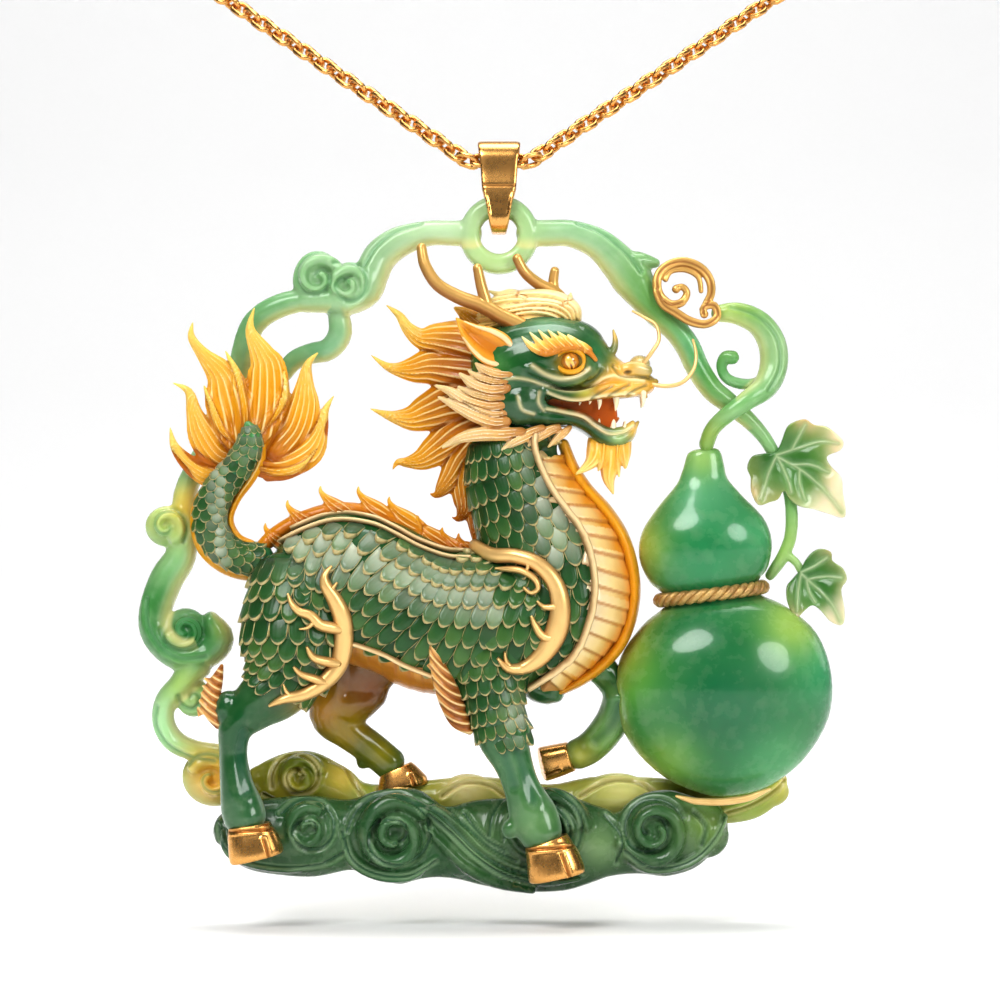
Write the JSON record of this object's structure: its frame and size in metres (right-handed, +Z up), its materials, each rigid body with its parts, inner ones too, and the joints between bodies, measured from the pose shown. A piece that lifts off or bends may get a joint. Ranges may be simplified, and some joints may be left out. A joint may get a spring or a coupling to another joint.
{
  "type": "pendant necklace",
  "caption": "Openwork carved pendant of a horned, scaled beast with flame mane beside a bottle gourd on clouds, hung by a tapering folded bail on a fine link chain",
  "frame": {"origin": "nape of the wearer's neck, on the chain's centre line at the top of the worn loop, where the necklace hangs and where its clasp sits", "axes": "+X to the viewer's right, -Y towards the viewer and out of the pendant's carved face, +Z up"},
  "size_m": [0.1352, 0.1165, 0.1685],
  "materials": {
    "gold": "polished",
    "jade_pale": "polished",
    "jade_dark": "polished",
    "jade_olive": "polished",
    "amber": "polished",
    "plate_ivory": "polished",
    "silk_cord": "twisted",
    "horn": "satin"
  },
  "bodies": {
    "chain": {"chain": "gold", "clasp": "gold"},
    "bail": {"bail": "gold"},
    "pendant": {"eyelet": "jade_pale", "frame_left": "jade_pale", "frame_right": "jade_pale", "vine": "jade_olive", "leaf_upper": "jade_olive", "leaf_lower": "jade_olive", "gold_scroll": "gold", "cloud_base": "jade_dark", "back_clouds": "jade_olive", "gourd": "jade_dark", "gourd_cord": "silk_cord", "gourd_foot": "gold", "body": "jade_dark", "chest_plates": "plate_ivory", "belly_plates": "plate_ivory", "head": "jade_dark", "mane": "amber", "ear_near": "amber", "ear_far": "amber", "beard": "amber", "antler_near": "horn", "antler_far": "horn", "whisker_upper": "gold", "whisker_lower": "gold", "tail": "jade_dark", "tail_flame": "amber", "back_crest": "amber", "hock_tuft": "plate_ivory", "elbow_tuft": "plate_ivory", "hip_flame": "gold", "shoulder_scroll": "gold", "hoof_hind_near": "gold", "hoof_hind_far": "gold", "hoof_fore_near": "gold", "hoof_fore_far": "gold"}
  },
  "joints": [
    {"name": "bail_swing", "type": "hinge", "parent": "chain", "child": "bail", "pos_m": [0, -0.10971, -0.11601], "axis": [1, 0, 0], "range_deg": [-45, 60]},
    {"name": "pendant_swing", "type": "hinge", "parent": "bail", "child": "pendant", "pos_m": [0, -0.10971, -0.12116], "axis": [0, 1, 0], "range_deg": [-25, 25]}
  ]
}
